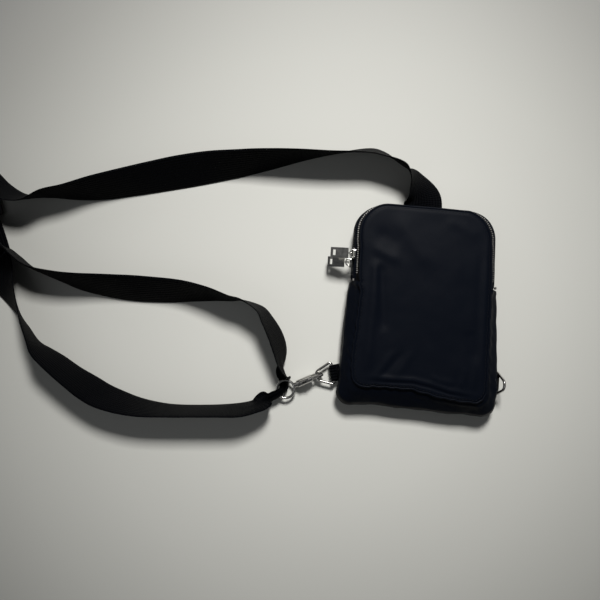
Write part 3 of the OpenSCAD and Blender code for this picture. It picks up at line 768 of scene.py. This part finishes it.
def band(name, path, width, thickness, origin, turn, mirrored=False, closed=False):
    """Webbing whose path lies in the X and Z of its own frame and whose width lies on Y."""
    section = strip_section(BAND_STEPS)
    verts = []
    uv = []
    run = 0.0
    for i, (x, z) in enumerate(path):
        before, after = neighbours(path, i, closed)
        dx, dz = after[0] - before[0], after[1] - before[1]
        size = math.hypot(dx, dz)
        nx, nz = -dz / size, dx / size
        if i:
            run += math.hypot(x - path[i - 1][0], z - path[i - 1][1])
        for place, face in section:
            away = face * thickness / 2 * (1 - abs(place) ** BAND_EDGE_POWER * BAND_EDGE_THIN)
            verts.append((x + nx * away, place * width / 2, z + nz * away))
            uv.append((place * width / 2 * MM, run * MM))
    faces = grid_faces(len(path), len(section), closed_columns=True, closed_rows=closed)
    if not closed:
        faces += end_caps(len(path), len(section))
    if mirrored:
        faces = [tuple(reversed(face)) for face in faces]
    return piece(name, placed(verts, origin, turn, mirrored), faces, webbing, uv=uv)


# Ring tabs: webbing folded round the ring bar and sewn into the gusset
RING_X, RING_Y, RING_Z, RING_TURN = 80.6, -67.6, 7.5, 13.0
TAB_W, TAB_T, TAB_IN, TAB_STEP = 16.0, 1.4, 8.5, 0.8
TAB_LOOP_R, TAB_UPPER_Z, TAB_LOWER_Z = 2.35, 1.9, -1.9
TAB_LOOP_FROM, TAB_LOOP_SPAN, TAB_LOOP_STEPS = 60, 240, 18
TAB_STITCH_Z, TAB_STITCH_PITCH = 2.75, 2.0
TAB_STITCH_X = (4.6, 6.8)
tab_path = [(TAB_IN - k * TAB_STEP, TAB_LOOP_R - 0.25 * step(k, 0, 8)) for k in range(10)]
tab_path = [(x, max(z, TAB_UPPER_Z)) for x, z in tab_path if x > 1.4]
for k in range(TAB_LOOP_STEPS + 1):
    a = math.radians(TAB_LOOP_FROM + TAB_LOOP_SPAN * k / TAB_LOOP_STEPS)
    tab_path.append((TAB_LOOP_R * math.cos(a), TAB_LOOP_R * math.sin(a)))
tab_path += [(1.6 + k * TAB_STEP, TAB_LOWER_Z) for k in range(9)]
for side, sign, turn in (("left", -1, RING_TURN), ("right", 1, 0.0)):
    origin = (sign * RING_X, RING_Y, RING_Z)
    tab = band(side + "_tab_webbing", tab_path, TAB_W, TAB_T, origin, turn, mirrored=sign > 0)
    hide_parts(side + "_tab")
    for n, x in enumerate(TAB_STITCH_X):
        row = [(x, 1 - TAB_W / 2 + k * TAB_STITCH_PITCH, TAB_STITCH_Z) for k in range(8)]
        row = placed(row, origin, turn, mirrored=sign > 0)
        seam = stitches(side + "_tab_stitch_" + str(n), row, upward, pitch=2.6, length=1.9)

# Sewn strap end behind the top edge
ANCHOR_X, ANCHOR_Y, ANCHOR_LOW, ANCHOR_HIGH, ANCHOR_T = -3.0, 98.1, 4.6, 14.4, 1.3
ANCHOR_STEPS = 8
ANCHOR_STITCH_Z = (6.2, 9.4, 12.6)
anchor_path = []
for k in range(ANCHOR_STEPS + 1):
    anchor_path.append((0.0, ANCHOR_LOW + (ANCHOR_HIGH - ANCHOR_LOW) * k / ANCHOR_STEPS))
anchor_at = (ANCHOR_X, ANCHOR_Y, 0)
anchor = band("anchor_webbing", anchor_path, STRAP_W, ANCHOR_T, anchor_at, 90.0)
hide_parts("strap_anchor")
for k, z in enumerate(ANCHOR_STITCH_Z):
    row = [Vector((ANCHOR_X - 17.5 + 2.5 * n, ANCHOR_Y + 0.7, z)) for n in range(15)]
    stitches("anchor_stitch_" + str(k), row, towards_top)

# Strap end round the adjuster's middle bar
SLEEVE_AT, SLEEVE_TURN = (-443.0, 76.0, 4.8), 110.0
SLEEVE_X, SLEEVE_Z, SLEEVE_R, SLEEVE_T = 2.6, 2.1, 1.1, 1.1
SLEEVE_STEPS = 5
sleeve_path = []
for cx, cz, start in ((1, 1, 0), (-1, 1, 90), (-1, -1, 180), (1, -1, 270)):
    for k in range(SLEEVE_STEPS + 1):
        a = math.radians(start + 90 * k / SLEEVE_STEPS)
        x = cx * (SLEEVE_X - SLEEVE_R) + SLEEVE_R * math.cos(a)
        sleeve_path.append((x, cz * (SLEEVE_Z - SLEEVE_R) + SLEEVE_R * math.sin(a)))
sleeve = band(
    "sleeve_webbing", sleeve_path, STRAP_W, SLEEVE_T, SLEEVE_AT, SLEEVE_TURN, closed=True
)
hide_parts("strap_end_sleeve")

# ------------------------------------------------- finishes of the CAD metal
FINISHES = (
    (nickel, ("rear_slider", "front_slider", "rear_pull", "front_pull")),
    (nickel, ("left_ring", "right_ring", "hook_body", "hook_latch", "swivel_eye")),
    (zip_metal, ("zip_end_stops",)),
    (black_metal, ("strap_glide",)),
)
for mat, names in FINISHES:
    for name in names:
        for part_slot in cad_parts[name].material_slots:
            part_slot.material = mat

# ------------------------------------------------------------------- stage
# Sizes and places in metres
FLOOR_HALF = 6.0
CAMERA_AT, CAMERA_TURN = (-0.11737, 0.00244, 0.600), 3.5
LENS, SENSOR = 36, 36
# The floor's colour carries painted light falloff: painted shade darkens it from the lit middle
# outwards to FLOOR_REACH
LIT_MIDDLE, FLOOR_REACH = (-0.08, -0.07, 0.0), 0.5
FLOOR_MIDDLE, FLOOR_PAINTED_SHADE_EDGE = (0.5, 0.503, 0.475, 1), (0.155, 0.156, 0.15, 1)
FLOOR_PAINTED_FALLOFF_TONES = ((0.25, 0.465), (0.46, 0.4), (0.64, 0.325), (0.87, 0.207))
KEY_AT, KEY_TARGET, KEY_SIZE, KEY_WATTS = (-0.03, 0.78, 1.02), (-0.06, 0.0, 0.0), 0.26, 27.0
FILL_AT, FILL_TARGET, FILL_SIZE, FILL_WATTS = (-0.7, -0.5, 0.9), (-0.1, 0.0, 0.0), 0.9, 1.2
WARM, COOL = (1.0, 0.985, 0.96), (0.96, 0.98, 1.0)
SKY, SKY_STRENGTH = (0.95, 0.97, 1.0, 1.0), 0.06


def placed_object(name, data):
    """A new object in the scene."""
    obj = bpy.data.objects.new(name, data)
    bpy.context.collection.objects.link(obj)
    return obj


def floor_material():
    """Pale warm grey with painted light falloff: painted shade darkens it softly away from the lit
    middle.
    """
    mat = material("table", FLOOR_MIDDLE[:3], 0.6, specular=0.2)
    place = add(mat, "ShaderNodeTexCoord")
    away = add(mat, "ShaderNodeVectorMath", operation="DISTANCE")
    away.inputs[1].default_value = LIT_MIDDLE
    ramp = add(mat, "ShaderNodeValToRGB")
    span = add(mat, "ShaderNodeMapRange")
    span.inputs["From Max"].default_value = FLOOR_REACH
    link(mat, place, "Object", away, 0)
    link(mat, away, "Value", span, "Value")
    link(mat, span, "Result", ramp, "Fac")
    link(mat, ramp, "Color", mat.node_tree.nodes["Principled BSDF"], "Base Color")
    # painted shade: the ramp's stops darken the floor from the lit middle towards its edge
    stops = ramp.color_ramp.elements
    stops[0].color = FLOOR_MIDDLE
    stops[1].color = FLOOR_PAINTED_SHADE_EDGE
    for share, tone in FLOOR_PAINTED_FALLOFF_TONES:
        stops.new(share).color = (tone, tone * 1.005, tone * 0.95, 1)
    return mat


def area_light(name, at, target, size, watts, colour):
    """A square lamp that faces its target."""
    data = bpy.data.lights.new(name, "AREA")
    data.size = size
    data.energy = watts
    data.color = colour
    light = placed_object(name, data)
    light.location = at
    light.rotation_euler = (Vector(target) - Vector(at)).to_track_quat("-Z", "Y").to_euler()


floor_mesh = bpy.data.meshes.new("floor")
corners = [(x * FLOOR_HALF, y * FLOOR_HALF, 0) for x, y in ((-1, -1), (1, -1), (1, 1), (-1, 1))]
floor_mesh.from_pydata(corners, [], [(0, 1, 2, 3)])
floor_mesh.materials.append(floor_material())
placed_object("floor", floor_mesh)

camera_data = bpy.data.cameras.new("camera")
camera_data.lens = LENS
camera_data.sensor_width = SENSOR
camera = placed_object("camera", camera_data)
camera.location = CAMERA_AT
camera.rotation_euler = (0, 0, math.radians(CAMERA_TURN))
bpy.context.scene.camera = camera

area_light("key", KEY_AT, KEY_TARGET, KEY_SIZE, KEY_WATTS, WARM)
area_light("fill", FILL_AT, FILL_TARGET, FILL_SIZE, FILL_WATTS, COOL)

world = bpy.data.worlds.new("studio")
world.use_nodes = True
sky = world.node_tree.nodes["Background"]
sky.inputs["Color"].default_value = SKY
sky.inputs["Strength"].default_value = SKY_STRENGTH
bpy.context.scene.world = world
bpy.context.scene.view_settings.view_transform = "Standard"

write_bounds()
